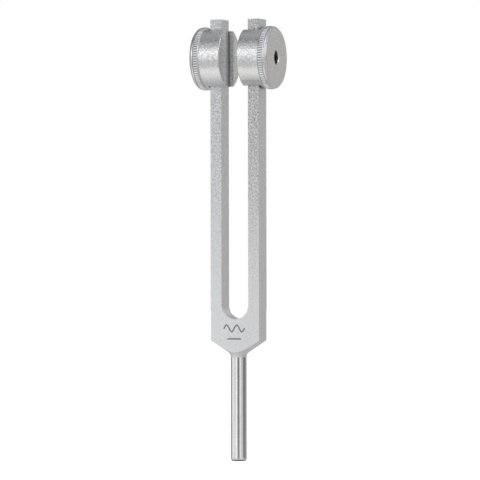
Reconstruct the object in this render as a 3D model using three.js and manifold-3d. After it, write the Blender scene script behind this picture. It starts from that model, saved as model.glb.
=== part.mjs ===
// A weighted tuning fork: a one-piece aluminium fork with a removable round weight near the tip
// of each tine. Millimetres. The origin is the centre of the stem's foot, +Z runs up the stem to
// the tips, +X runs across the two tines and the marked face of the yoke looks towards -Y.
//
// The fork is cut from flat bar: the slot between the tines is milled, and the stem, its fillet
// and the cone of the neck are turned. A weight is slotted, so it goes over its tine from the
// outside. A thumbscrew, which is a knurled head fixed on a set screw, runs through the weight
// into a blind tapped hole in the tine and clamps the weight against a thin washer.

import * as THREE from "three";
import { mergeVertices } from "three/addons/utils/BufferGeometryUtils.js";
import Module from "manifold-3d";

// ---- Fork ----
const FORK_LENGTH = 211.8;
const BAR_WIDTH = 25; // across the two tines, X
const BAR_THICKNESS = 10; // Y
const TINE_THICKNESS = 5.74; // X
const SLOT_ARC_Z = 74.9; // centre of the slot's round bottom
const STEM_RADIUS = 3.9;
const FOOT_CHAMFER = 0.7;
const NECK_ANGLE = THREE.MathUtils.degToRad(34.3); // the cone's slope above the horizontal
const NECK_CORNER_Z = 57.8; // where the cone reaches the corners of the bar
const NECK_FILLET = 3;

// ---- Weights, measured outwards from the plane between the tines ----
const WEIGHT_Z = 193.2; // height of the weights' common axis
const WEIGHT_RADIUS = 14.4;
const WEIGHT_INNER_X = 4.5; // face that looks at the other weight
const WEIGHT_OUTER_X = 14.9; // face under the knurled head
const WEIGHT_CHAMFER = 0.3;
const SLOT_SIDE_GAP = 0.12; // between the tine and each side of the weight's slot

// ---- Washer between the tine and the floor of the weight's slot ----
const WASHER_THICKNESS = 0.7;
const WASHER_RADIUS = 4.8;
const FACE_GAP = 0.1; // between faces that are clamped together

// ---- Thumbscrew: an M6 x 10 set screw in a knurled head ----
const SCREW_RADIUS = 3;
const SCREW_LENGTH = 10;
const SCREW_RECESS = 0.8; // below the head's outer face
const SCREW_CHAMFER = 0.5;
const SOCKET_FLATS = 3; // hexagon socket, across flats
const SOCKET_DEPTH = 3;
const HOLE_RADIUS = 3.2; // screw hole in the head, the weight, the washer and the tine
const HOLE_BOTTOM_GAP = 0.2; // below the screw's tip in the tine
const HEAD_INNER_X = 15.05;
const HEAD_OUTER_X = 19.8;
const HEAD_RADIUS = 15.2; // over the knurl's crests
const HEAD_RIM_RADIUS = 14.9; // plain band outside the knurl
const HEAD_OUTER_CHAMFER = 1.1;
const KNURL_INNER_X = 15.8;
const KNURL_OUTER_X = 17.9;
const KNURL_DEPTH = 0.4;
const KNURL_TEETH = 76;

// ---- Fineness of the round shapes ----
const ROUND_SEGMENTS = 72;
const SMALL_SEGMENTS = 32;
const ARC_SEGMENTS = 24; // of the slot's round bottom
const FILLET_STEPS = 6;
const OVERCUT = 1; // how far a cutting solid passes a face

// ---- Worked out ----
const slotHalfWidth = BAR_WIDTH / 2 - TINE_THICKNESS;
const tineOuterX = BAR_WIDTH / 2;
const washerInnerX = tineOuterX + FACE_GAP;
const weightSlotFloorX = washerInnerX + WASHER_THICKNESS + FACE_GAP;
const screwOuterX = HEAD_OUTER_X - SCREW_RECESS;
const screwInnerX = screwOuterX - SCREW_LENGTH;

const wasm = await Module();
wasm.setup();

// ---- From three.js geometry to a solid and back ----

function toSolid(geometry) {
  const bare = geometry.clone();
  bare.deleteAttribute("normal");
  bare.deleteAttribute("uv");
  const merged = mergeVertices(bare);
  const mesh = new wasm.Mesh({
    numProp: 3,
    vertProperties: new Float32Array(merged.attributes.position.array),
    triVerts: new Uint32Array(merged.index.array),
  });
  return new wasm.Manifold(mesh);
}

function toGeometry(solid) {
  const mesh = solid.getMesh();
  const geometry = new THREE.BufferGeometry();
  const positions = new THREE.BufferAttribute(new Float32Array(mesh.vertProperties), 3);
  geometry.setAttribute("position", positions);
  geometry.setIndex(new THREE.BufferAttribute(new Uint32Array(mesh.triVerts), 1));
  geometry.computeVertexNormals();
  return geometry;
}

// ---- Shared shapes ----

// Turns [radius, height] points about Z. The profile starts and ends on the axis, or closes.
function turnedAboutZ(profile, segments) {
  const points = profile.map(([radius, height]) => new THREE.Vector2(radius, height));
  return new THREE.LatheGeometry(points, segments).rotateX(Math.PI / 2);
}

// Turns [radius, x] points about X.
function turnedAboutX(profile, segments) {
  const points = profile.map(([radius, x]) => new THREE.Vector2(radius, x));
  return new THREE.LatheGeometry(points, segments).rotateZ(-Math.PI / 2);
}

function boreAlongX(innerX, outerX) {
  const profile = [
    [0, innerX],
    [HOLE_RADIUS, innerX],
    [HOLE_RADIUS, outerX],
    [0, outerX],
  ];
  return toSolid(turnedAboutX(profile, SMALL_SEGMENTS));
}

// ---- Fork body ----

// The flat bar with the slot milled between the tines, before the stem is turned.
function slottedBar() {
  const outline = new THREE.Shape();
  outline.moveTo(-BAR_WIDTH / 2, 0);
  outline.lineTo(BAR_WIDTH / 2, 0);
  outline.lineTo(BAR_WIDTH / 2, FORK_LENGTH);
  outline.lineTo(slotHalfWidth, FORK_LENGTH);
  outline.lineTo(slotHalfWidth, SLOT_ARC_Z);
  outline.absarc(0, SLOT_ARC_Z, slotHalfWidth, 0, Math.PI, true);
  outline.lineTo(-slotHalfWidth, FORK_LENGTH);
  outline.lineTo(-BAR_WIDTH / 2, FORK_LENGTH);
  outline.closePath();
  const options = { depth: BAR_THICKNESS, bevelEnabled: false, curveSegments: ARC_SEGMENTS };
  const bar = new THREE.ExtrudeGeometry(outline, options);
  return toSolid(bar.rotateX(Math.PI / 2).translate(0, BAR_THICKNESS / 2, 0));
}

// What turning leaves: the stem, its fillet and the cone, and everything above the cone.
function turningEnvelope() {
  const cornerRadius = Math.hypot(BAR_WIDTH / 2, BAR_THICKNESS / 2);
  const slope = Math.tan(NECK_ANGLE);
  const coneFootZ = NECK_CORNER_Z - (cornerRadius - STEM_RADIUS) * slope;
  const sweep = Math.PI / 2 - NECK_ANGLE;
  const filletCentreZ = coneFootZ - NECK_FILLET * Math.tan(sweep / 2);
  const profile = [
    [0, 0],
    [STEM_RADIUS - FOOT_CHAMFER, 0],
    [STEM_RADIUS, FOOT_CHAMFER],
  ];
  for (let step = 0; step <= FILLET_STEPS; step += 1) {
    const angle = Math.PI - (sweep * step) / FILLET_STEPS;
    profile.push([
      STEM_RADIUS + NECK_FILLET * (1 + Math.cos(angle)),
      filletCentreZ + NECK_FILLET * Math.sin(angle),
    ]);
  }
  const outsideRadius = cornerRadius + OVERCUT;
  profile.push([outsideRadius, NECK_CORNER_Z + OVERCUT * slope]);
  profile.push([outsideRadius, FORK_LENGTH + OVERCUT]);
  profile.push([0, FORK_LENGTH + OVERCUT]);
  return toSolid(turnedAboutZ(profile, ROUND_SEGMENTS));
}

// The blind hole for the thumbscrew in the outer side of the tine at +X.
function tineHole() {
  const hole = boreAlongX(screwInnerX - HOLE_BOTTOM_GAP, tineOuterX + OVERCUT);
  return hole.translate([0, 0, WEIGHT_Z]);
}

function forkBody() {
  const rightHole = tineHole();
  const leftHole = rightHole.rotate([0, 0, 180]);
  const fork = slottedBar().intersect(turningEnvelope());
  return toGeometry(fork.subtract(rightHole).subtract(leftHole));
}

// ---- One weight and its thumbscrew, for the tine at +X, with the weight's axis on X ----

function weightBody() {
  const profile = [
    [0, WEIGHT_INNER_X],
    [WEIGHT_RADIUS - WEIGHT_CHAMFER, WEIGHT_INNER_X],
    [WEIGHT_RADIUS, WEIGHT_INNER_X + WEIGHT_CHAMFER],
    [WEIGHT_RADIUS, WEIGHT_OUTER_X - WEIGHT_CHAMFER],
    [WEIGHT_RADIUS - WEIGHT_CHAMFER, WEIGHT_OUTER_X],
    [0, WEIGHT_OUTER_X],
  ];
  const blank = toSolid(turnedAboutX(profile, ROUND_SEGMENTS));
  const slotStartX = WEIGHT_INNER_X - OVERCUT;
  const slotDepth = weightSlotFloorX - slotStartX;
  const slotWidth = BAR_THICKNESS + 2 * SLOT_SIDE_GAP;
  const slot = new THREE.BoxGeometry(slotDepth, slotWidth, 2 * (WEIGHT_RADIUS + OVERCUT));
  slot.translate(slotStartX + slotDepth / 2, 0, 0);
  const bore = boreAlongX(weightSlotFloorX - OVERCUT, WEIGHT_OUTER_X + OVERCUT);
  return toGeometry(blank.subtract(toSolid(slot)).subtract(bore));
}

function slotWasher() {
  const profile = [
    [HOLE_RADIUS, washerInnerX],
    [WASHER_RADIUS, washerInnerX],
    [WASHER_RADIUS, washerInnerX + WASHER_THICKNESS],
    [HOLE_RADIUS, washerInnerX + WASHER_THICKNESS],
    [HOLE_RADIUS, washerInnerX],
  ];
  return toGeometry(toSolid(turnedAboutX(profile, SMALL_SEGMENTS)));
}

// A prism of straight teeth about X, longer than the knurled band.
function toothedPrism() {
  const outline = new THREE.Shape();
  const rootRadius = HEAD_RADIUS - KNURL_DEPTH;
  for (let tooth = 0; tooth < KNURL_TEETH; tooth += 1) {
    const crest = (2 * Math.PI * tooth) / KNURL_TEETH;
    const root = crest + Math.PI / KNURL_TEETH;
    outline.lineTo(HEAD_RADIUS * Math.cos(crest), HEAD_RADIUS * Math.sin(crest));
    outline.lineTo(rootRadius * Math.cos(root), rootRadius * Math.sin(root));
  }
  outline.closePath();
  const depth = KNURL_OUTER_X - HEAD_INNER_X + OVERCUT;
  const prism = new THREE.ExtrudeGeometry(outline, { depth, bevelEnabled: false });
  prism.rotateY(Math.PI / 2).translate(HEAD_INNER_X - OVERCUT / 2, 0, 0);
  return toSolid(prism);
}

// The knurled band and the sloping shoulder that leads up to it from the weight's diameter.
function knurlBand() {
  const crestRadius = HEAD_RADIUS + OVERCUT;
  const slope = (HEAD_RADIUS - WEIGHT_RADIUS) / (KNURL_INNER_X - HEAD_INNER_X);
  const profile = [
    [0, HEAD_INNER_X],
    [WEIGHT_RADIUS, HEAD_INNER_X],
    [crestRadius, HEAD_INNER_X + (crestRadius - WEIGHT_RADIUS) / slope],
    [crestRadius, KNURL_OUTER_X],
    [0, KNURL_OUTER_X],
  ];
  return toSolid(turnedAboutX(profile, ROUND_SEGMENTS)).intersect(toothedPrism());
}

// The plain band and the outer face.
function headRim() {
  const startX = (KNURL_INNER_X + KNURL_OUTER_X) / 2;
  const coreRadius = HEAD_RADIUS - 2 * KNURL_DEPTH; // inside the knurl's roots
  const profile = [
    [0, startX],
    [coreRadius, startX],
    [coreRadius, KNURL_OUTER_X - KNURL_DEPTH],
    [HEAD_RIM_RADIUS, KNURL_OUTER_X - KNURL_DEPTH],
    [HEAD_RIM_RADIUS, HEAD_OUTER_X - HEAD_OUTER_CHAMFER],
    [HEAD_RIM_RADIUS - HEAD_OUTER_CHAMFER, HEAD_OUTER_X],
    [0, HEAD_OUTER_X],
  ];
  return toSolid(turnedAboutX(profile, ROUND_SEGMENTS));
}

function knurledHead() {
  const bore = boreAlongX(HEAD_INNER_X - OVERCUT, HEAD_OUTER_X + OVERCUT);
  return toGeometry(knurlBand().add(headRim()).subtract(bore));
}

function setScrew() {
  const profile = [
    [0, screwInnerX],
    [SCREW_RADIUS - SCREW_CHAMFER, screwInnerX],
    [SCREW_RADIUS, screwInnerX + SCREW_CHAMFER],
    [SCREW_RADIUS, screwOuterX - SCREW_CHAMFER],
    [SCREW_RADIUS - SCREW_CHAMFER, screwOuterX],
    [0, screwOuterX],
  ];
  const shank = toSolid(turnedAboutX(profile, SMALL_SEGMENTS));
  const cornerRadius = SOCKET_FLATS / Math.sqrt(3);
  const depth = SOCKET_DEPTH + OVERCUT;
  const socket = new THREE.CylinderGeometry(cornerRadius, cornerRadius, depth, 6);
  socket.rotateZ(-Math.PI / 2).translate(screwOuterX - SOCKET_DEPTH + depth / 2, 0, 0);
  return toGeometry(shank.subtract(toSolid(socket)));
}

// ---- Materials ----

function blastedAluminium(name) {
  return new THREE.MeshStandardMaterial({ name, color: 0xcfcfd0, roughness: 0.45, metalness: 1 });
}

const forkFinish = blastedAluminium("fork_aluminium");
const weightFinish = blastedAluminium("weight_aluminium");
const headFinish = new THREE.MeshStandardMaterial({
  name: "knurled_aluminium",
  color: 0xc4c4c6,
  roughness: 0.35,
  metalness: 1,
});
const screwFinish = new THREE.MeshStandardMaterial({
  name: "black_oxide_steel",
  color: 0x1c1c1e,
  roughness: 0.5,
  metalness: 0.8,
});
const washerFinish = new THREE.MeshStandardMaterial({
  name: "fibre_washer",
  color: 0x55504a,
  roughness: 0.85,
  metalness: 0,
});

// ---- The assembly ----

function piece(name, geometry, material) {
  const mesh = new THREE.Mesh(geometry, material);
  mesh.name = name;
  return mesh;
}

// side is the first word of the piece names, and turn places the set at its tine.
function weightSet(side, turn) {
  const set = new THREE.Group();
  set.add(piece(`${side}_weight`, weightBody(), weightFinish));
  set.add(piece(`${side}_washer`, slotWasher(), washerFinish));
  set.add(piece(`${side}_knurled_head`, knurledHead(), headFinish));
  set.add(piece(`${side}_set_screw`, setScrew(), screwFinish));
  set.position.z = WEIGHT_Z;
  set.rotation.z = turn;
  return set;
}

const tuningFork = new THREE.Group();
tuningFork.add(piece("fork", forkBody(), forkFinish));
tuningFork.add(weightSet("right", 0));
tuningFork.add(weightSet("left", Math.PI));

export default tuningFork;
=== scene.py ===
"""Looks of the weighted tuning fork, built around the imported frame.

The mesh functions work in millimetres on the frame's own axes: +Z up the stem, +X across the two
tines, and the marked face of the yoke towards -Y. add_piece() turns the meshes into metres.
"""

import math

import bmesh
import bpy
from mathutils import Matrix, Vector


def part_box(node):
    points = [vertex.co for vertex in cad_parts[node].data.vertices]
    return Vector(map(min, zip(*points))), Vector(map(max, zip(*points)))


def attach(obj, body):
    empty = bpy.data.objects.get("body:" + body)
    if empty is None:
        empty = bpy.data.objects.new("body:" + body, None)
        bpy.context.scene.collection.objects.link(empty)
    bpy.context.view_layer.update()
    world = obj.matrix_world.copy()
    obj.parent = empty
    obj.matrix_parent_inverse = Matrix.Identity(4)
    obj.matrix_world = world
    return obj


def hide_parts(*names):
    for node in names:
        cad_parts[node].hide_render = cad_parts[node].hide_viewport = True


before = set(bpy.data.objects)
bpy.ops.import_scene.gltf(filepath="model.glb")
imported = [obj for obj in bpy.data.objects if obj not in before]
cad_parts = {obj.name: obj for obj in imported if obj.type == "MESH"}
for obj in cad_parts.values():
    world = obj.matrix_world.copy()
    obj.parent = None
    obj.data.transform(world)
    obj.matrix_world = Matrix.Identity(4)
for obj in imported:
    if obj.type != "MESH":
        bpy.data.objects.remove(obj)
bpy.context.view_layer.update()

MM = 0.001


def box_mm(node):
    low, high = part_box(node)
    return low / MM, high / MM


# ---- Sizes from the frame ----

_, fork_high = box_mm("fork")
weight_low, weight_high = box_mm("right_weight")
washer_low, washer_high = box_mm("right_washer")
head_low, head_high = box_mm("right_knurled_head")
screw_low, screw_high = box_mm("right_set_screw")

FORK_LENGTH = fork_high.z
BAR_X = fork_high.x  # half the bar's width
BAR_Y = fork_high.y  # half the bar's thickness
AXIS_Z = (weight_low.z + weight_high.z) / 2  # height of the weights' common axis
WEIGHT_RADIUS = (weight_high.z - weight_low.z) / 2
WEIGHT_INNER_X = weight_low.x
WASHER_RADIUS = (washer_high.z - washer_low.z) / 2
HEAD_RADIUS = (head_high.z - head_low.z) / 2
HEAD_INNER_X = head_low.x
WEIGHT_OUTER_X = HEAD_INNER_X - 0.02  # closed up to the head, further out than the CAD face
HEAD_OUTER_X = head_high.x
SCREW_RADIUS = (screw_high.z - screw_low.z) / 2

# ---- Sizes of the fork's details ----

TINE_THICKNESS = 5.74
SLOT_ARC_Z = 74.9  # centre of the slot's round bottom
STEM_RADIUS = 3.9
FOOT_CHAMFER = 0.7
NECK_ANGLE = math.radians(34.3)  # the cone's slope above the horizontal
NECK_CORNER_Z = 57.8  # where the cone reaches the corners of the bar
NECK_FILLET = 3.0
EDGE_ROUND = 0.2  # blasted edges
SLOT_X = BAR_X - TINE_THICKNESS

# ---- Sizes of the weights' and thumbscrews' details ----

SLOT_SIDE_GAP = 0.12
FACE_GAP = 0.1
SLOT_FLOOR_X = washer_high.x + FACE_GAP
HOLE_RADIUS = 3.2
HOLE_CHAMFER = 0.25
HOLE_PANEL = 6.0  # half the height of the tine's face that its hole is cut in
HOLE_BOTTOM_GAP = 0.2  # between the screw's tip and the end of the thread in the tine
HOLE_THREAD_DEPTH = 0.25  # in the tine
DRILL_POINT = 0.9  # depth of the cone below the thread in the tine
RIM_CHAMFER = 0.36
SLOT_EDGE_ROUND = 0.07
SHOULDER_OUTER_X = HEAD_INNER_X + 0.75
KNURL_OUTER_X = HEAD_INNER_X + 2.85
KNURL_DEPTH = 0.4
KNURL_TEETH = 76
KNURL_SHARPNESS = 3  # 1 for a plain wave, more for narrower grooves between flat lands
HEAD_RIM_RADIUS = HEAD_RADIUS - 0.3
HEAD_OUTER_CHAMFER = 1.1
COUNTERSINK = 0.55  # at the mouth of the hole in the head's face
CHAMFER_ROUND = 0.2  # where the head's outer chamfer meets its rim and its face
PLAIN_MOUTH = HEAD_OUTER_X - screw_high.x  # of the hole, with no thread, as deep as the screw sits
THREAD_PITCH = 1.0
SCREW_THREAD_DEPTH = 0.52 * THREAD_PITCH
SOCKET_FLATS = 3.0
SOCKET_DEPTH = 3.0
SCREW_END_CHAMFER = 0.65
HEAD_THREAD_DEPTH = 0.12  # in the head's hole
RIM_STEP = 0.12  # from the knurl's outer end up to the plain band

# ---- The generic mark on the yoke: a small wave above a short bar ----

MARK_X = -0.4
WAVE_Z = 63.6
WAVE_LENGTH = 10.4
WAVE_HEIGHT = 1.6
WAVE_PERIODS = 2
BAR_MARK_Z = 58.6
BAR_MARK_LENGTH = 6.6
MARK_HALF_WIDTH = 0.34
MARK_DEPTH = 0.22


# ---- Mesh helpers ----


def polar_x(x, radius, angle):
    """A point about the X axis; the angle runs from +Y towards +Z."""
    return Vector((x, radius * math.cos(angle), radius * math.sin(angle)))


def polar_z(z, radius, angle):
    return Vector((radius * math.cos(angle), radius * math.sin(angle), z))


def full_turn(count):
    return [2 * math.pi * i / count for i in range(count)]


def add_ring(bm, points):
    return [bm.verts.new(point) for point in points]


def bridge(bm, first, second):
    """Quads between two closed rings of the same count."""
    count = len(first)
    for i in range(count):
        j = (i + 1) % count
        bm.faces.new((first[i], first[j], second[j], second[i]))


def bridge_all(bm, rings):
    for first, second in zip(rings[:-1], rings[1:]):
        bridge(bm, first, second)


def loop_edges(bm, verts):
    edges = []
    for i, vert in enumerate(verts):
        other = verts[(i + 1) % len(verts)]
        edges.append(bm.edges.get((vert, other)) or bm.edges.new((vert, other)))
    return edges


def fill_between(bm, loops):
    """Fills the flat region inside the first loop and outside the others."""
    edges = []
    for loop in loops:
        edges.extend(loop_edges(bm, loop))
    return bmesh.ops.triangle_fill(bm, use_beauty=True, use_dissolve=False, edges=edges)


def open_face(bm, face, holes):
    """Replaces a flat face by one with closed holes in it."""
    outline = list(face.verts)
    bmesh.ops.delete(bm, geom=[face], context="FACES_ONLY")
    fill_between(bm, [outline] + holes)


def flat_face(bm, direction):
    """The largest face that looks in a direction."""
    bm.normal_update()
    facing = [face for face in bm.faces if face.normal.dot(direction) > 0.999]
    return max(facing, key=lambda face: face.calc_area())


def round_edges(bm, edges, size):
    bmesh.ops.bevel(
        bm,
        geom=edges,
        offset=size,
        offset_type="OFFSET",
        affect="EDGES",
        segments=3,
        profile=0.5,
        clamp_overlap=False,
        loop_slide=True,
    )


def sharp_edges(bm, least_degrees):
    """Edges where two faces meet at a convex or concave angle over a limit."""
    bm.normal_update()
    limit = math.radians(least_degrees)
    return [e for e in bm.edges if len(e.link_faces) == 2 and e.calc_face_angle(0) > limit]


def thread_wave(x, angle):
    """0 at a thread's crest and 1 at its root, for a right-hand thread about +X."""
    phase = (x / THREAD_PITCH - angle / (2 * math.pi)) % 1.0
    return 0.5 - 0.5 * math.cos(2 * math.pi * phase)


def steps(start, end, count):
    return [start + (end - start) * i / count for i in range(count + 1)]


def add_piece(name, bm, body, node, materials, turn=0.0):
    """Makes the object in metres, shades it, and rides it on its body in place of its node."""
    bmesh.ops.recalc_face_normals(bm, faces=bm.faces)
    bm.transform(Matrix.Rotation(turn, 4, "Z") @ Matrix.Scale(MM, 4))
    for face in bm.faces:
        face.smooth = True
    for edge in sharp_edges(bm, 50):
        edge.smooth = False
    mesh = bpy.data.meshes.new(name)
    bm.to_mesh(mesh)
    bm.free()
    for material in materials:
        mesh.materials.append(material)
    piece = bpy.data.objects.new(name, mesh)
    bpy.context.scene.collection.objects.link(piece)
    shading = piece.modifiers.new("flat faces stay flat", "WEIGHTED_NORMAL")
    shading.mode = "FACE_AREA"
    shading.weight = 50
    shading.keep_sharp = True
    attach(piece, body)
    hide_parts(node)
    return piece


# ---- The fork ----


def neck_columns():
    """Angles about the stem, with one column on each corner of the bar."""
    corner = math.atan2(BAR_Y, BAR_X)
    stops = [-corner, corner, math.pi - corner, math.pi + corner, 2 * math.pi - corner]
    angles = []
    for start, end, count in zip(stops[:-1], stops[1:], (20, 72, 20, 72)):
        angles.extend(steps(start, end, count)[:-1])
    return angles


def bar_reach(angle):
    """Distance from the stem's axis to the bar's surface."""
    across = BAR_X / max(abs(math.cos(angle)), 1e-9)
    through = BAR_Y / max(abs(math.sin(angle)), 1e-9)
    return min(across, through)


def neck_point(path, angle, foot_z):
    """A point on the neck at a path length from the fillet's start: the fillet, then the cone."""
    sweep = math.pi / 2 - NECK_ANGLE
    arc = NECK_FILLET * sweep
    if path < arc:
        turned = path / NECK_FILLET
        radius = STEM_RADIUS + NECK_FILLET * (1 - math.cos(turned))
        return polar_z(foot_z + NECK_FILLET * math.sin(turned), radius, angle)
    radius = STEM_RADIUS + NECK_FILLET * (1 - math.cos(sweep))
    radius += (path - arc) * math.cos(NECK_ANGLE)
    z = foot_z + NECK_FILLET * math.sin(sweep) + (path - arc) * math.sin(NECK_ANGLE)
    return polar_z(z, radius, angle)


def neck_path_to_bar(angle):
    """Path length at which the neck's surface meets the bar's."""
    reach = bar_reach(angle)
    sweep = math.pi / 2 - NECK_ANGLE
    fillet_end = STEM_RADIUS + NECK_FILLET * (1 - math.cos(sweep))
    if reach < fillet_end:
        return NECK_FILLET * math.acos(1 - (reach - STEM_RADIUS) / NECK_FILLET)
    return NECK_FILLET * sweep + (reach - fillet_end) / math.cos(NECK_ANGLE)


def fillet_start_z():
    corner_radius = math.hypot(BAR_X, BAR_Y)
    cone_foot_z = NECK_CORNER_Z - (corner_radius - STEM_RADIUS) * math.tan(NECK_ANGLE)
    return cone_foot_z - NECK_FILLET * math.tan((math.pi / 2 - NECK_ANGLE) / 2)


def build_stem_and_neck(bm, angles):
    """The turned part, closed at its foot. Returns the ring where it meets the bar."""
    fillet_z = fillet_start_z()
    foot = [
        (0.0, STEM_RADIUS - FOOT_CHAMFER - 0.08),
        (0.03, STEM_RADIUS - FOOT_CHAMFER + 0.02),
        (FOOT_CHAMFER - 0.06, STEM_RADIUS - 0.06),
        (FOOT_CHAMFER + 0.09, STEM_RADIUS),
    ]
    rows = foot + [(z, STEM_RADIUS) for z in steps(FOOT_CHAMFER + 1, fillet_z, 24)]
    rings = [add_ring(bm, [polar_z(z, radius, a) for a in angles]) for z, radius in rows]
    paths = [neck_path_to_bar(a) for a in angles]
    neck_rows = 28
    for row in range(1, neck_rows + 1):
        share = (row / neck_rows) ** 1.5
        points = [neck_point(path * share, a, fillet_z) for path, a in zip(paths, angles)]
        rings.append(add_ring(bm, points))
    bridge_all(bm, rings)
    bm.faces.new(rings[0])
    return rings[-1]


def ring_span(ring, angles, start, end):
    """The ring's verts from one angle to another, going round."""
    chosen = []
    for turn in (0, 2 * math.pi):
        for vert, angle in zip(ring, angles):
            if start - 1e-6 < angle + turn < end + 1e-6:
                chosen.append(vert)
    return chosen


def build_tine(bm, levels, front_outer, back_outer, front_inner, back_inner):
    """A tine's four sides and its top, above the four verts where it leaves the yoke."""
    lower = [front_outer, back_outer, back_inner, front_inner]
    for level in levels:
        upper = add_ring(bm, [(v.co.x, v.co.y, level) for v in lower])
        bridge(bm, lower, upper)
        lower = upper
    bm.faces.new(lower)


def build_bar(bm, ring, angles):
    """The yoke and both tines above the ring where the neck meets the bar."""
    corner = math.atan2(BAR_Y, BAR_X)
    back = ring_span(ring, angles, corner, math.pi - corner)
    left = ring_span(ring, angles, math.pi - corner, math.pi + corner)
    front = ring_span(ring, angles, math.pi + corner, 2 * math.pi - corner)
    right = ring_span(ring, angles, 2 * math.pi - corner, 2 * math.pi + corner)
    arc = [polar_z(0, SLOT_X, angle) for angle in steps(0, -math.pi, 48)]
    sides = {}
    for y in (-BAR_Y, BAR_Y):
        low_arc = [bm.verts.new((p.x, y, SLOT_ARC_Z + p.y)) for p in arc]
        right_top = bm.verts.new((BAR_X, y, SLOT_ARC_Z))
        left_top = bm.verts.new((-BAR_X, y, SLOT_ARC_Z))
        sides[y] = (low_arc, right_top, left_top)
    front_arc, front_right, front_left = sides[-BAR_Y]
    back_arc, back_right, back_left = sides[BAR_Y]
    bm.faces.new(front + [front_right] + front_arc + [front_left])
    bm.faces.new(back + [back_left] + back_arc[::-1] + [back_right])
    bm.faces.new(right + [back_right, front_right])
    bm.faces.new(left + [front_left, back_left])
    for i in range(len(arc) - 1):
        bm.faces.new((front_arc[i], front_arc[i + 1], back_arc[i + 1], back_arc[i]))
    levels = steps(SLOT_ARC_Z, AXIS_Z - HOLE_PANEL, 12)[1:]
    levels += [AXIS_Z + HOLE_PANEL, FORK_LENGTH]
    build_tine(bm, levels, front_right, back_right, front_arc[0], back_arc[0])
    build_tine(bm, levels, front_left, back_left, front_arc[-1], back_arc[-1])


def bar_edges(bm):
    """Every sharp edge above the stem."""
    return [e for e in sharp_edges(bm, 30) if min(v.co.z for v in e.verts) > fillet_start_z()]


def stroke_outline(centre, half_width):
    """A closed outline at a distance from a line of points in the face's (x, z) plane."""
    left, right = [], []
    for i, point in enumerate(centre):
        ahead = centre[min(i + 1, len(centre) - 1)]
        behind = centre[max(i - 1, 0)]
        along = (ahead - behind).normalized()
        side = Vector((-along.y, along.x)) * half_width
        left.append(point + side)
        right.append(point - side)
    outline = list(left)
    outline += round_cap(centre[-1], left[-1] - centre[-1])
    outline += right[::-1]
    outline += round_cap(centre[0], right[0] - centre[0])
    return outline


def round_cap(centre, arm):
    """Points of a half turn, clockwise from an arm, without its two ends."""
    points = []
    for i in range(1, 8):
        angle = -math.pi * i / 8
        cos, sin = math.cos(angle), math.sin(angle)
        turned = Vector((arm.x * cos - arm.y * sin, arm.x * sin + arm.y * cos))
        points.append(centre + turned)
    return points


def build_groove(bm, centre):
    """A round-bottomed groove in the front face along a line. Returns its mouth."""
    rings = []
    for share, depth in ((1.0, 0.0), (0.86, 0.35), (0.62, 0.72), (0.34, 0.94), (0.1, 1.0)):
        outline = stroke_outline(centre, MARK_HALF_WIDTH * share)
        points = [(p.x, -BAR_Y + MARK_DEPTH * depth, p.y) for p in outline]
        rings.append(add_ring(bm, points))
    before = set(bm.faces)
    bridge_all(bm, rings)
    fill_between(bm, [rings[-1]])
    for face in set(bm.faces) - before:
        face.material_index = 2
    return rings[0]


def mark_lines():
    """Centre lines of the mark's strokes: a wave, and a short bar under it."""
    wave = []
    for share in steps(0, 1, 56):
        x = MARK_X + WAVE_LENGTH * (share - 0.5)
        z = WAVE_Z + WAVE_HEIGHT * math.sin(2 * math.pi * WAVE_PERIODS * share)
        wave.append(Vector((x, z)))
    half = BAR_MARK_LENGTH / 2
    bar = [Vector((MARK_X + x, BAR_MARK_Z)) for x in steps(-half, half, 12)]
    return [wave, bar]


def build_tapped_hole(bm, side):
    """The blind tapped hole in a tine's outer side; side is 1 or -1. Returns its mouth."""
    angles = full_turn(48)
    bottom_x = screw_low.x - HOLE_BOTTOM_GAP
    rows = [(BAR_X, HOLE_RADIUS + HOLE_CHAMFER), (BAR_X - HOLE_CHAMFER, HOLE_RADIUS)]
    rings = [[polar_x(x, radius, a) for a in angles] for x, radius in rows]
    for x in steps(BAR_X - HOLE_CHAMFER - 0.1, bottom_x, 24):
        rings.append([polar_x(x, HOLE_RADIUS + HOLE_THREAD_DEPTH * thread_wave(x, a), a) for a in angles])
    rings.append([polar_x(bottom_x - DRILL_POINT, 0.4, a) for a in angles])
    turn = Matrix.Rotation(0 if side > 0 else math.pi, 4, "Z")
    lift = Vector((0, 0, AXIS_Z))
    verts = [add_ring(bm, [turn @ point + lift for point in ring]) for ring in rings]
    bridge_all(bm, verts)
    bm.faces.new(verts[-1])
    return verts[0]


def fork_mesh():
    bm = bmesh.new()
    angles = neck_columns()
    ring = build_stem_and_neck(bm, angles)
    build_bar(bm, ring, angles)
    bmesh.ops.recalc_face_normals(bm, faces=bm.faces)
    round_edges(bm, bar_edges(bm), EDGE_ROUND)
    yoke = flat_face(bm, Vector((0, -1, 0)))
    open_face(bm, yoke, [build_groove(bm, line) for line in mark_lines()])
    for side in (1, -1):
        target = Vector((side * BAR_X, 0, AXIS_Z))
        outer = [f for f in bm.faces if (f.calc_center_median() - target).length < 1]
        open_face(bm, outer[0], [build_tapped_hole(bm, side)])
    for face in bm.faces:
        if face.calc_center_median().z < fillet_start_z():
            face.material_index = 1
    return bm


# ---- A weight, for the tine at +X, with its axis on X until it is lifted ----


def lifted(bm):
    bmesh.ops.translate(bm, verts=bm.verts, vec=(0, 0, AXIS_Z))
    return bm


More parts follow.
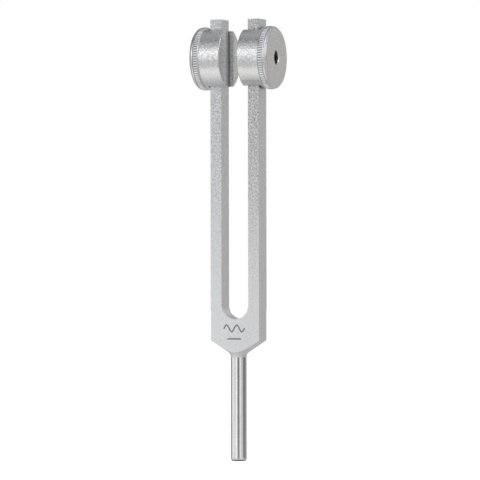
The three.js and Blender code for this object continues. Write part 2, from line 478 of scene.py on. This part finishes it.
def weight_mesh():
    bm = bmesh.new()
    half_slot = BAR_Y + SLOT_SIDE_GAP
    opening = math.asin(half_slot / WEIGHT_RADIUS)  # half the slot's angle about the axis
    top, turn = math.pi / 2, 2 * math.pi
    stops = [opening - top, top - opening, top + opening, 3 * top - opening, turn - top + opening]
    counts = (80, 22, 80, 22)
    angles = []
    for start, end, count in zip(stops[:-1], stops[1:], counts):
        angles.extend(steps(start, end, count)[:-1])
    outer = add_ring(bm, [polar_x(WEIGHT_OUTER_X, WEIGHT_RADIUS, a) for a in angles])
    floor = add_ring(bm, [polar_x(SLOT_FLOOR_X, WEIGHT_RADIUS, a) for a in angles])
    bridge(bm, outer, floor)
    bm.faces.new(outer)
    first = 0
    slot_arcs = []
    for count, is_half in zip(counts, (True, False, True, False)):
        span = [floor[(first + i) % len(floor)] for i in range(count + 1)]
        if is_half:
            build_half(bm, span)
        else:
            slot_arcs.append(span)
        first += count
    bm.faces.new(slot_arcs[0] + slot_arcs[1])
    bmesh.ops.recalc_face_normals(bm, faces=bm.faces)
    convex = [e for e in sharp_edges(bm, 40) if e.is_convex]
    round_edges(bm, [e for e in convex if on_inner_rim(e)], RIM_CHAMFER)
    convex = [e for e in sharp_edges(bm, 40) if e.is_convex]
    round_edges(bm, convex, SLOT_EDGE_ROUND)
    angles = full_turn(64)
    mouths = []
    rows = [
        (WEIGHT_OUTER_X, HOLE_RADIUS + HOLE_CHAMFER),
        (WEIGHT_OUTER_X - HOLE_CHAMFER, HOLE_RADIUS),
        (SLOT_FLOOR_X + HOLE_CHAMFER, HOLE_RADIUS),
        (SLOT_FLOOR_X, HOLE_RADIUS + HOLE_CHAMFER),
    ]
    for x, radius in rows:
        mouths.append(add_ring(bm, [polar_x(x, radius, a) for a in angles]))
    outside = flat_face(bm, Vector((1, 0, 0)))
    open_face(bm, outside, [mouths[0]])
    inside = [f for f in bm.faces if abs(f.calc_center_median().x - SLOT_FLOOR_X) < 1e-3]
    inside = max(inside, key=lambda f: f.calc_area())
    open_face(bm, inside, [mouths[3]])
    bridge_all(bm, mouths)
    return lifted(bm)


def on_inner_rim(edge):
    """Whether an edge lies on the round rim of the weight's inner face."""
    middle = (edge.verts[0].co + edge.verts[1].co) / 2
    return middle.x < WEIGHT_INNER_X + 0.01 and math.hypot(middle.y, middle.z) > 0.99 * WEIGHT_RADIUS


def build_half(bm, span):
    """One half of the weight beside the slot: its round side, flat inner face and slot wall."""
    rows = [span]
    for x in steps(SLOT_FLOOR_X, WEIGHT_INNER_X, 4)[1:]:
        rows.append([bm.verts.new((x, v.co.y, v.co.z)) for v in span])
    for first, second in zip(rows[:-1], rows[1:]):
        for i in range(len(span) - 1):
            bm.faces.new((first[i], first[i + 1], second[i + 1], second[i]))
        bm.faces.new((first[-1], first[0], second[0], second[-1]))
    bm.faces.new(rows[-1])


# ---- Washer, knurled head and set screw, for the tine at +X ----


def turned_mesh(bm, rows, columns):
    """Rings about X from (x, radius) rows, where a radius is a number or a function of angle."""
    rings = []
    for x, radius in rows:
        radii = [radius(a) if callable(radius) else radius for a in columns]
        rings.append(add_ring(bm, [polar_x(x, r, a) for r, a in zip(radii, columns)]))
    bridge_all(bm, rings)
    return rings


def washer_mesh():
    bm = bmesh.new()
    low, high = washer_low.x, washer_high.x
    soft = 0.12  # pressed edges
    rows = []
    for radius, inward in ((WASHER_RADIUS, -1), (HOLE_RADIUS, 1)):
        profile = [(low, 1.0), (low + 0.3 * soft, 0.3), (low + soft, 0.0)]
        profile += [(high - soft, 0.0), (high - 0.3 * soft, 0.3), (high, 1.0)]
        if inward > 0:
            profile.reverse()
        rows += [(x, radius + inward * soft * share) for x, share in profile]
    rings = turned_mesh(bm, rows, full_turn(96))
    bridge(bm, rings[-1], rings[0])
    return lifted(bm)


def knurl_radius(x, angle):
    """Narrow straight grooves, cut at their ends by the sloping shoulder and the outer chamfer."""
    wave = 0.5 - 0.5 * math.cos(KNURL_TEETH * angle)
    tooth = HEAD_RADIUS - KNURL_DEPTH * wave**KNURL_SHARPNESS
    slope = (HEAD_RADIUS - WEIGHT_RADIUS) / (SHOULDER_OUTER_X - HEAD_INNER_X)
    shoulder = WEIGHT_RADIUS + (x - HEAD_INNER_X) * slope
    outer_end = HEAD_RIM_RADIUS - RIM_STEP + (KNURL_OUTER_X - x)
    return min(tooth, shoulder, outer_end)


def rounded_corner(corner, first_slope, last_slope):
    """Rows round a corner of the head's profile, from one slope towards the axis to the next."""
    x, radius = corner
    first, last = math.radians(first_slope), math.radians(last_slope)
    bend = CHAMFER_ROUND / math.tan((last - first) / 2)
    centre_x = x - CHAMFER_ROUND * math.cos(first) - bend * math.sin(first)
    centre_r = radius + CHAMFER_ROUND * math.sin(first) - bend * math.cos(first)
    rows = []
    for slope in steps(first, last, 5):
        rows.append((centre_x + bend * math.sin(slope), centre_r + bend * math.cos(slope)))
    return rows


def head_mesh():
    bm = bmesh.new()
    columns = full_turn(KNURL_TEETH * 8)
    rows = [(HEAD_INNER_X, WEIGHT_RADIUS - 0.03)]
    ends = steps(HEAD_INNER_X + 0.02, SHOULDER_OUTER_X + 0.1, 12)
    middle = steps(SHOULDER_OUTER_X + 0.1, KNURL_OUTER_X - 0.5, 4)[1:]
    rounded = steps(KNURL_OUTER_X - 0.5, KNURL_OUTER_X, 8)[1:]
    for x in ends + middle + rounded:
        rows.append((x, lambda a, x=x: knurl_radius(x, a)))
    chamfer_x = HEAD_OUTER_X - HEAD_OUTER_CHAMFER
    face_radius = HEAD_RIM_RADIUS - HEAD_OUTER_CHAMFER
    rows += [
        (KNURL_OUTER_X + 0.05, HEAD_RIM_RADIUS - RIM_STEP),
        (KNURL_OUTER_X + RIM_STEP, HEAD_RIM_RADIUS),
    ]
    rows += rounded_corner((chamfer_x, HEAD_RIM_RADIUS), 0, 45)
    rows += rounded_corner((HEAD_OUTER_X, face_radius), 45, 90)
    rings = turned_mesh(bm, rows, columns)
    bore = [(HEAD_INNER_X, HOLE_RADIUS + HOLE_CHAMFER), (HEAD_INNER_X + HOLE_CHAMFER, HOLE_RADIUS)]
    for x in steps(HEAD_INNER_X + 0.3, HEAD_OUTER_X - PLAIN_MOUTH, 36):
        bore.append((x, lambda a, x=x: HOLE_RADIUS + HEAD_THREAD_DEPTH * thread_wave(x, a)))
    bore += [
        (HEAD_OUTER_X - PLAIN_MOUTH + 0.05, HOLE_RADIUS),
        (HEAD_OUTER_X - COUNTERSINK, HOLE_RADIUS),
        (HEAD_OUTER_X - 0.03, HOLE_RADIUS + COUNTERSINK - 0.03),
        (HEAD_OUTER_X, HOLE_RADIUS + COUNTERSINK + 0.01),
    ]
    holes = turned_mesh(bm, bore, full_turn(64))
    fill_between(bm, [rings[0], holes[0]])
    fill_between(bm, [rings[-1], holes[-1]])
    return lifted(bm)


def hexagon_radius(angle):
    sector = math.pi / 3
    return SOCKET_FLATS / 2 / math.cos((angle + sector / 2) % sector - sector / 2)


def screw_radius(x, angle):
    """The thread, cut at both ends by the chamfers."""
    thread = SCREW_RADIUS - SCREW_THREAD_DEPTH * thread_wave(x, angle)
    tip = SCREW_RADIUS - SCREW_END_CHAMFER + (x - screw_low.x)
    head = SCREW_RADIUS - SCREW_END_CHAMFER + (screw_high.x - x)
    return min(thread, tip, head)


def screw_mesh():
    bm = bmesh.new()
    columns = full_turn(48)
    rows = [(screw_low.x + 0.25, 0.3), (screw_low.x, 1.1)]
    for x in steps(screw_low.x, screw_high.x, 100):
        rows.append((x, lambda a, x=x: screw_radius(x, a)))
    socket_bottom = screw_high.x - SOCKET_DEPTH
    rows += [
        (screw_high.x, SOCKET_FLATS / 2 * 1.24),
        (screw_high.x - 0.25, hexagon_radius),
        (socket_bottom, hexagon_radius),
        (socket_bottom - 0.7, 0.1),
    ]
    rings = turned_mesh(bm, rows, columns)
    bm.faces.new(rings[0])
    bm.faces.new(rings[-1])
    return lifted(bm)


# ---- Materials ----

SPARKLE_START_Z = 70.0  # the fork's painted sparkle, its bumps and the painted shade on its front and back faces grow from here
SPARKLE_FULL_Z = 170.0  # to here

class Nodes:
    """Short names for building a material's nodes."""

    def __init__(self, tree):
        self.tree = tree

    def add(self, kind, **inputs):
        node = self.tree.nodes.new("ShaderNode" + kind)
        for name, value in inputs.items():
            self.put(node, name, value)
        return node

    def put(self, node, name, value):
        socket = node.inputs[name.replace("_", " ")] if isinstance(name, str) else node.inputs[name]
        if isinstance(value, bpy.types.NodeSocket):
            self.tree.links.new(value, socket)
        else:
            socket.default_value = value

    def math(self, operation, first, second=0.0, clamp=False):
        node = self.tree.nodes.new("ShaderNodeMath")
        node.operation = operation
        node.use_clamp = clamp
        self.put(node, 0, first)
        self.put(node, 1, second)
        return node.outputs[0]

    def vector(self, operation, first, second, output, scale=None):
        node = self.tree.nodes.new("ShaderNodeVectorMath")
        node.operation = operation
        self.put(node, 0, first)
        if second is not None:
            self.put(node, 1, second)
        if scale is not None:
            self.put(node, "Scale", scale)
        return node.outputs[output]

    def remap(self, value, from_low, from_high, to_low, to_high):
        node = self.tree.nodes.new("ShaderNodeMapRange")
        node.interpolation_type = "SMOOTHSTEP"
        self.put(node, "Value", value)
        for name, number in zip(
            ("From Min", "From Max", "To Min", "To Max"), (from_low, from_high, to_low, to_high)
        ):
            self.put(node, name, number)
        return node.outputs[0]

    def mix_colour(self, share, first, second):
        node = self.tree.nodes.new("ShaderNodeMix")
        node.data_type = "RGBA"
        self.put(node, 0, share)
        self.put(node, 6, first)
        self.put(node, 7, second)
        return node.outputs[2]

    def noise(self, vector, size, detail=2.0, roughness=0.5):
        """Noise of about 0..1 whose features are size metres across."""
        node = self.add("TexNoise", Vector=vector, Scale=1 / size, Detail=detail, Roughness=roughness)
        return node.outputs["Fac"]

    def bump(self, height, distance, strength=1.0, normal=None):
        node = self.add("Bump", Height=height, Distance=distance, Strength=strength)
        if normal is not None:
            self.put(node, "Normal", normal)
        return node.outputs["Normal"]


def new_material(name):
    """A material with a Principled shader. Returns it, its shader, its nodes and its position."""
    material = bpy.data.materials.new(name)
    material.use_nodes = True
    nodes = Nodes(material.node_tree)
    shader = material.node_tree.nodes["Principled BSDF"]
    position = nodes.add("TexCoord").outputs["Object"]
    return material, shader, nodes, position


def grey(level, tint=0.0):
    """A grey with a slight blue (above 0) or warm (below 0) tint."""
    return (level * (1 - tint), level, level * (1 + tint), 1.0)


def blast_height(nodes, position):
    """The pitted surface that glass-bead blasting leaves."""
    cells = nodes.add("TexVoronoi", Vector=position, Scale=1 / (0.42 * MM))
    dents = nodes.remap(cells.outputs["Distance"], 0.0, 0.75, 0.0, 1.0)
    grain = nodes.noise(position, 0.9 * MM, 2.0, 0.6)
    return nodes.math("ADD", nodes.math("MULTIPLY", dents, 0.2), grain)


def sparkle(nodes, position, amount):
    """0..1 about a half: light and dark flecks, painted glints of blasted metal for the colour, as strong as
    amount.
    """
    flecks = nodes.noise(position, 0.82 * MM, 2.0, 0.6)
    lift = nodes.math("MULTIPLY", nodes.math("SUBTRACT", flecks, 0.5), amount)
    return nodes.math("ADD", lift, 0.5, clamp=True)


def shaded_crevices(nodes, colour, reach):
    """The colour, turning dark where other surfaces stand closer than reach."""
    shelter = nodes.add("AmbientOcclusion", Distance=reach)
    openness = nodes.remap(shelter.outputs["AO"], 0.2, 0.93, 0.0, 1.0)
    return nodes.mix_colour(openness, grey(0.12), colour)


def blasted_material():
    """The fork's flat faces: bead-blasted, with a coarser sparkle towards the tips, its glints painted in
    the colour. Painted shade darkens the faces that look to the front and back, more on the right tine and
    towards the tips.
    """
    material, shader, nodes, position = new_material("blasted_aluminium")
    place = nodes.add("SeparateXYZ", Vector=position).outputs
    towards_tip = nodes.remap(place["Z"], SPARKLE_START_Z * MM, SPARKLE_FULL_Z * MM, 0.3, 1.0)
    # Painted shade: the faces that look to the front and back take a darker grey, more on the right tine and
    # towards the tips.
    painted_shade = nodes.remap(place["X"], -SLOT_X * MM, SLOT_X * MM, 0.5, 0.78)
    painted_shade = nodes.math("MULTIPLY", towards_tip, painted_shade)
    normal = nodes.add("SeparateXYZ", Vector=nodes.add("TexCoord").outputs["Normal"]).outputs
    painted_shade = nodes.math("MULTIPLY", painted_shade, nodes.math("ABSOLUTE", normal["Y"]))
    cloud = nodes.noise(position, 14 * MM, 3.0)
    patches = nodes.mix_colour(cloud, grey(0.92), grey(0.97))
    flecks = sparkle(nodes, position, nodes.math("MULTIPLY", towards_tip, 3.6))
    speckled = nodes.mix_colour(flecks, grey(0.72, 0.01), grey(1.0, 0.01))
    colour = nodes.mix_colour(0.8, patches, speckled)
    shade_grey = nodes.mix_colour(flecks, grey(0.28, 0.02), grey(0.80, 0.02))
    colour = nodes.mix_colour(painted_shade, colour, shade_grey)
    nodes.put(shader, "Base Color", shaded_crevices(nodes, colour, 2.5 * MM))
    nodes.put(shader, "Metallic", 1.0)
    rough = nodes.math("ADD", nodes.math("MULTIPLY", nodes.noise(position, 1.2 * MM), 0.16), 0.40)
    nodes.put(shader, "Roughness", rough)
    distance = nodes.math("MULTIPLY", towards_tip, 0.12 * MM)
    nodes.put(shader, "Normal", nodes.bump(blast_height(nodes, position), distance, 0.9))
    return material


def turned_stem_material():
    """The turned stem: smoother, with fine rings about its axis."""
    material, shader, nodes, position = new_material("turned_stem_aluminium")
    height_z = nodes.add("SeparateXYZ", Vector=position).outputs["Z"]
    stretched = nodes.add("CombineXYZ", Z=height_z).outputs[0]
    rings = nodes.noise(stretched, 0.22 * MM, 4.0, 0.7)
    cloud = nodes.noise(position, 5 * MM, 3.0)
    colour = nodes.mix_colour(cloud, grey(0.84), grey(0.92))
    nodes.put(shader, "Base Color", shaded_crevices(nodes, colour, 1.2 * MM))
    nodes.put(shader, "Metallic", 1.0)
    rough = nodes.math("ADD", nodes.math("MULTIPLY", cloud, 0.08), 0.08)
    nodes.put(shader, "Roughness", rough)
    grain = nodes.math("ADD", rings, nodes.noise(position, 0.3 * MM, 2.0))
    nodes.put(shader, "Normal", nodes.bump(grain, 0.003 * MM, 0.8))
    return material


def recess_material():
    """The floor of the stamped mark: duller and darker than the face round it."""
    material, shader, nodes, position = new_material("stamped_recess")
    cloud = nodes.noise(position, 0.6 * MM, 3.0)
    nodes.put(shader, "Base Color", nodes.mix_colour(cloud, grey(0.26), grey(0.42)))
    nodes.put(shader, "Metallic", 1.0)
    nodes.put(shader, "Roughness", nodes.math("ADD", nodes.math("MULTIPLY", cloud, 0.2), 0.45))
    nodes.put(shader, "Normal", nodes.bump(cloud, 0.03 * MM, 0.6))
    return material


def glint_and_blast_share(nodes):
    """How strongly a weight's painted glints and its blasted bumps show, by the way a face looks: fully on
    its sides, less on top and least underneath.
    """
    upward = nodes.add("SeparateXYZ", Vector=nodes.add("TexCoord").outputs["Normal"]).outputs["Z"]
    from_below = nodes.remap(upward, -0.4, -0.1, 0.3, 1.0)
    from_above = nodes.remap(upward, 0.75, 0.5, 0.4, 1.0)
    return nodes.math("MULTIPLY", from_below, from_above)


def turned_weight_material(name, tone, roughness, pitting, reach):
    """Turned, then blasted as strongly as pitting (0 to 1): rings on the faces, sparkle all over, its glints
    painted in the colour and strongest on the sides.
    """
    material, shader, nodes, position = new_material(name)
    parts = nodes.add("SeparateXYZ", Vector=position)
    rise = nodes.math("SUBTRACT", parts.outputs["Z"], AXIS_Z * MM)
    across = nodes.add("CombineXYZ", X=parts.outputs["Y"], Y=rise).outputs[0]
    radius = nodes.vector("LENGTH", across, None, "Value")
    turned = nodes.add("CombineXYZ", X=parts.outputs["X"], Y=radius).outputs[0]
    rings = nodes.noise(turned, 0.35 * MM, 4.0, 0.7)
    wide_rings = nodes.noise(turned, 2.2 * MM, 2.0)
    cloud = nodes.noise(position, 7 * MM, 3.0)
    # Painted glints: light and dark flecks in the colour, strongest on the sides; the blast's bumps follow
    # the same share.
    blasted = nodes.math("MULTIPLY", glint_and_blast_share(nodes), pitting)
    flecks = sparkle(nodes, position, nodes.math("MULTIPLY", blasted, 3.2))
    mixed = nodes.math("MULTIPLY", flecks, 0.8)
    mixed = nodes.math("ADD", mixed, nodes.math("MULTIPLY", wide_rings, 0.2))
    patches = nodes.mix_colour(cloud, grey(tone - 0.03), grey(tone + 0.05))
    grain = nodes.mix_colour(mixed, grey(tone - 0.36, 0.02), grey(tone + 0.14, 0.01))
    colour = nodes.mix_colour(0.8, patches, grain)
    nodes.put(shader, "Base Color", shaded_crevices(nodes, colour, reach))
    nodes.put(shader, "Metallic", 1.0)
    rough = nodes.math("ADD", nodes.math("MULTIPLY", cloud, 0.1), roughness - 0.05)
    nodes.put(shader, "Roughness", rough)
    lines = nodes.bump(rings, 0.008 * MM, 0.7)
    depth = nodes.math("MULTIPLY", blasted, 0.1 * MM)
    nodes.put(shader, "Normal", nodes.bump(blast_height(nodes, position), depth, 0.8, lines))
    return material


def black_oxide_material():
    material, shader, nodes, position = new_material("black_oxide_steel")
    cloud = nodes.noise(position, 0.8 * MM, 4.0)
    nodes.put(shader, "Base Color", nodes.mix_colour(cloud, grey(0.012), grey(0.035, 0.08)))
    nodes.put(shader, "Metallic", 0.6)
    nodes.put(shader, "Roughness", nodes.math("ADD", nodes.math("MULTIPLY", cloud, 0.25), 0.32))
    nodes.put(shader, "Normal", nodes.bump(nodes.noise(position, 0.2 * MM, 3.0), 0.01 * MM, 0.6))
    return material


def fibre_material():
    """Pressed fibre: dark, matt, with short threads lying in it."""
    material, shader, nodes, position = new_material("fibre_washer")
    stretched = nodes.add("Mapping", Vector=position, Scale=(1.0, 1.0, 4.0)).outputs[0]
    threads = nodes.noise(stretched, 0.5 * MM, 5.0, 0.7)
    nodes.put(shader, "Base Color", nodes.mix_colour(threads, (0.03, 0.025, 0.02, 1), (0.10, 0.08, 0.06, 1)))
    nodes.put(shader, "Roughness", nodes.math("ADD", nodes.math("MULTIPLY", threads, 0.15), 0.8))
    nodes.put(shader, "Normal", nodes.bump(threads, 0.04 * MM, 0.8))
    return material


# ---- The pieces ----


def add_fork():
    materials = [blasted_material(), turned_stem_material(), recess_material()]
    add_piece("blasted_fork", fork_mesh(), "fork_body", "fork", materials)


def add_weight_set(side, turn, finishes):
    unit, thumbscrew = f"{side}_weight_unit", f"{side}_thumbscrew"
    sets = [
        ("slotted_weight", weight_mesh, unit, "weight", "weight_aluminium"),
        ("fibre_washer", washer_mesh, unit, "washer", "fibre_washer"),
        ("thumbscrew_head", head_mesh, thumbscrew, "knurled_head", "knurled_aluminium"),
        ("threaded_screw", screw_mesh, thumbscrew, "set_screw", "black_oxide_steel"),
    ]
    for name, build, body, node, slot in sets:
        piece = f"{side}_{name}"
        add_piece(piece, build(), body, f"{side}_{node}", [finishes[slot]], turn)


def add_object():
    finishes = {
        "weight_aluminium": turned_weight_material("turned_weight_aluminium", 0.84, 0.24, 1.0, 1.6 * MM),
        "knurled_aluminium": turned_weight_material("turned_head_aluminium", 0.84, 0.22, 0.5, 0.6 * MM),
        "black_oxide_steel": black_oxide_material(),
        "fibre_washer": fibre_material(),
    }
    add_fork()
    add_weight_set("right", 0.0, finishes)
    add_weight_set("left", math.pi, finishes)


# ---- Floor, light and camera ----

CAMERA_AZIMUTH = math.radians(21.1)
CAMERA_DISTANCE = 2.0
CAMERA_HEIGHT = 0.0962
CAMERA_YAW = math.radians(0.02)
CAMERA_PITCH = math.radians(0.28)
CAMERA_ROLL = math.radians(-0.09)
CAMERA_LENS = 312.5


def add_floor():
    """A pale, polished table, as under product photographs. Seen at a low angle it mirrors the
    cards, and its own glow fades."""
    bm = bmesh.new()
    columns = full_turn(64)
    rings = [add_ring(bm, [polar_z(0, radius, a) for a in columns]) for radius in TABLE_RINGS]
    bridge_all(bm, rings)
    bm.faces.new(rings[-1])
    mesh = bpy.data.meshes.new("table")
    bm.to_mesh(mesh)
    bm.free()
    floor = bpy.data.objects.new("table", mesh)
    bpy.context.scene.collection.objects.link(floor)
    material, shader, nodes, position = new_material("white_table")
    cloud = nodes.noise(position, 0.2, 2.0)
    nodes.put(shader, "Base Color", nodes.mix_colour(cloud, grey(0.34), grey(0.38)))
    nodes.put(shader, "Roughness", TABLE_ROUGHNESS)
    nodes.put(shader, "Emission Color", grey(1.0, -0.02))
    away = nodes.vector("DISTANCE", position, POOL_CENTRE, "Value")
    pool = nodes.remap(away, POOL_RADIUS, 0.0, 0.0, POOL_GLOW)
    seen = nodes.add("LightPath").outputs["Is Camera Ray"]
    mirrored = nodes.add("Fresnel", IOR=1.5).outputs[0]
    glow = nodes.math("ADD", pool, TABLE_GLOW)
    glow = nodes.math("MULTIPLY", glow, nodes.math("SUBTRACT", 1.0, mirrored))
    glow = nodes.math("ADD", nodes.math("MULTIPLY", seen, TABLE_SEEN_GLOW), glow)
    nodes.put(shader, "Emission Strength", glow)
    mesh.materials.append(material)


# Soft cards of light round the object: azimuth from the camera's side towards the right, elevation
# and half width in degrees, brightness, and tint as in grey().
CARDS = [
    ("key", -42, 38, 22, 0.5, 0.01),
    ("key_low", -43, 14, 16, 0.9, 0.01),
    ("left", -84, 5, 26, 0.9, 0.0),
    ("left_back", -130, 10, 25, 0.2, 0.0),
    ("front_left", -27, 2, 8, 1.0, 0.0),
    ("front_right", 23, 5, 14, 0.9, 0.0),
    ("front_high", 15, 52, 25, 1.3, 0.0),
    ("right", 50, 16, 15, 0.8, 0.0),
    ("right_high", 72, 38, 20, 0.5, 0.0),
    ("back_right", 138, 5, 24, 0.4, -0.03),
    ("back_high", 130, 42, 24, 0.4, 0.0),
    ("behind", 180, 10, 22, 0.3, 0.0),
    ("back_top", -165, 55, 18, 0.2, 0.0),
    ("above", 0, 88, 25, 0.4, 0.0),
]
ROOM = 0.12
TABLE_GLOW = 0.3
POOL_GLOW = 0.5  # more, in a pool of light in front of the object
POOL_CENTRE = (-0.1, -0.16, 0.0)
POOL_RADIUS = 0.24
TABLE_SEEN_GLOW = 1.0  # more, for the camera alone
TABLE_ROUGHNESS = 0.15
TABLE_RINGS = (6.0, 1.5, 0.3, 0.02)  # from the edge inwards, so that its face looks up


def card_direction(azimuth, elevation):
    """Unit vector towards a card; azimuth 0 is the camera's own."""
    turn = CAMERA_AZIMUTH + math.radians(azimuth)
    level = math.cos(math.radians(elevation))
    return (math.sin(turn) * level, -math.cos(turn) * level, math.sin(math.radians(elevation)))


def add_world():
    """A grey room with soft cards in it, white behind the object for the camera alone."""
    world = bpy.data.worlds.new("studio")
    bpy.context.scene.world = world
    world.use_nodes = True
    nodes = Nodes(world.node_tree)
    background = world.node_tree.nodes["Background"]
    direction = nodes.add("TexCoord").outputs["Generated"]
    total = nodes.add("CombineXYZ", X=ROOM, Y=ROOM, Z=ROOM).outputs[0]
    for _, azimuth, elevation, half_width, brightness, tint in CARDS:
        towards = nodes.vector("DOT_PRODUCT", direction, card_direction(azimuth, elevation), "Value")
        edge = math.cos(math.radians(half_width * 1.35))
        core = math.cos(math.radians(half_width * 0.5))
        share = nodes.remap(towards, edge, core, 0.0, 1.0)
        glow = nodes.vector("SCALE", grey(brightness, tint)[:3], None, "Vector", share)
        total = nodes.vector("ADD", total, glow, "Vector")
    seen = nodes.add("LightPath").outputs["Is Camera Ray"]
    nodes.put(background, "Color", nodes.mix_colour(seen, total, grey(1.0)))
    nodes.put(background, "Strength", 1.0)


def add_camera():
    """The photograph's view: level, from the right of the marked face."""
    sin, cos = math.sin(CAMERA_AZIMUTH), math.cos(CAMERA_AZIMUTH)
    right = Vector((cos, sin, 0))
    up = Vector((0, 0, 1))
    ahead = Vector((-sin, cos, 0))
    ahead, right = turned_pair(ahead, right, CAMERA_YAW)
    ahead, up = turned_pair(ahead, up, CAMERA_PITCH)
    right, up = turned_pair(right, up, CAMERA_ROLL)
    camera = bpy.data.cameras.new("camera")
    camera.lens = CAMERA_LENS
    camera.sensor_width = 36.0
    camera.clip_start = 0.05
    holder = bpy.data.objects.new("camera", camera)
    axes = Matrix((right, up, -ahead)).transposed()
    place = Vector((sin * CAMERA_DISTANCE, -cos * CAMERA_DISTANCE, CAMERA_HEIGHT))
    holder.matrix_world = Matrix.Translation(place) @ axes.to_4x4()
    bpy.context.scene.collection.objects.link(holder)
    bpy.context.scene.camera = holder


def turned_pair(first, second, angle):
    """Turns the first direction towards the second, and the second with it."""
    cos, sin = math.cos(angle), math.sin(angle)
    return first * cos + second * sin, second * cos - first * sin


add_object()
add_floor()
add_world()
add_camera()
bpy.context.scene.view_settings.view_transform = "Standard"
